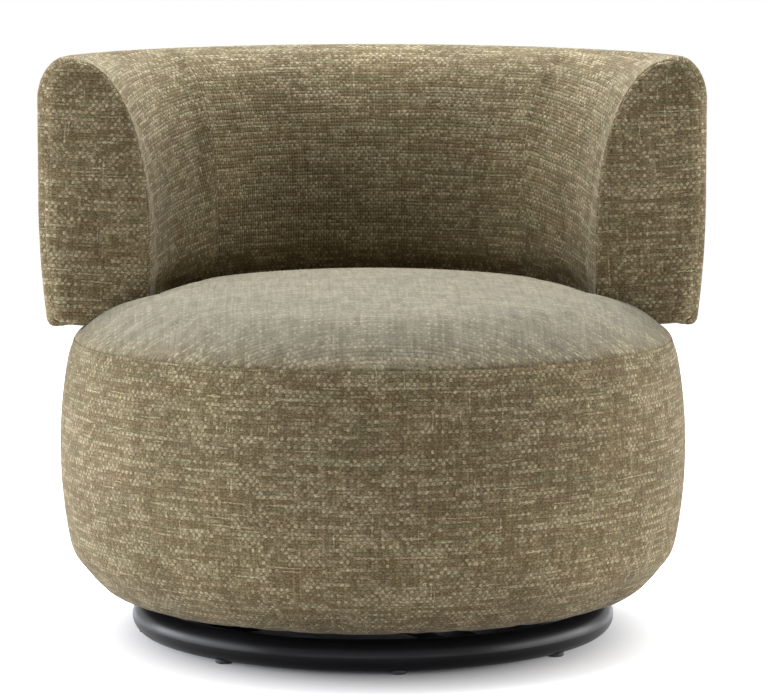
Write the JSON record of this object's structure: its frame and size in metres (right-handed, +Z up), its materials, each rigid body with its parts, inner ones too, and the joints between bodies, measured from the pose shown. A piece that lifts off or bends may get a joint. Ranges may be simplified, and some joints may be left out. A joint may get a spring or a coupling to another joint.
{
  "type": "swivel armchair",
  "caption": "Round upholstered swivel armchair: a drum seat with a crowned cushion, a C-shaped backrest with flat arm ends, and a black tubular floor ring.",
  "frame": {"origin": "on the floor at the swivel axis, which is the centre of the floor ring and of the drum seat", "axes": "+Z up along the swivel axis, -Y to the front where a sitter's knees are, +X to the right of someone facing the chair from the front"},
  "size_m": [0.76, 0.7228, 0.663],
  "materials": {
    "black_tube": "satin",
    "glide_plastic": "matte",
    "bearing_steel": "satin",
    "cage_brass": "satin",
    "bush_nylon": "matte",
    "frame_wood": "matte",
    "webbing": "matte",
    "foam": "matte",
    "tweed": "matte",
    "dust_cloth": "matte"
  },
  "bodies": {
    "base": {"base_ring": "black_tube", "base_cross": "black_tube", "hub_plate": "black_tube", "glides": "glide_plastic", "lower_race": "bearing_steel", "lower_race_bolts": "bearing_steel", "pivot_pin": "bearing_steel", "retaining_ring": "bearing_steel"},
    "cage": {"ball_cage": "cage_brass", "bearing_balls": "bearing_steel"},
    "seat": {"upper_race": "bearing_steel", "upper_race_bolts": "bearing_steel", "pivot_bush": "bush_nylon", "thrust_washer": "bearing_steel", "seat_base_board": "frame_wood", "seat_posts": "frame_wood", "seat_side_panel": "frame_wood", "seat_top_ring": "frame_wood", "post_screws_lower": "bearing_steel", "post_screws_upper": "bearing_steel", "webbing_across": "webbing", "webbing_lengthways": "webbing", "seat_side_foam": "foam", "seat_top_foam": "foam", "seat_side_cover": "tweed", "seat_top_cover": "tweed", "dust_cover": "dust_cloth", "back_risers": "bearing_steel", "riser_bolts": "bearing_steel", "riser_tee_nuts": "bearing_steel", "back_base_plate": "frame_wood", "back_shell": "frame_wood", "back_ribs": "frame_wood", "back_foam": "foam", "back_outer_cover": "tweed", "back_inner_cover": "tweed", "arm_inner_cover_left": "tweed", "arm_inner_cover_right": "tweed", "arm_end_cover_left": "tweed", "arm_end_cover_right": "tweed", "back_bottom_cover": "tweed"}
  },
  "joints": [
    {"name": "seat_swivel", "type": "hinge", "parent": "base", "child": "seat", "pos_m": [0, 0, 0.03975], "axis": [0, 0, 1], "continuous": true},
    {"name": "cage_orbit", "type": "hinge", "parent": "base", "child": "cage", "pos_m": [0, 0, 0.03975], "axis": [0, 0, 1], "continuous": true}
  ],
  "couplings": [
    {"joint": "cage_orbit", "follows": "seat_swivel", "ratio": 0.5}
  ]
}
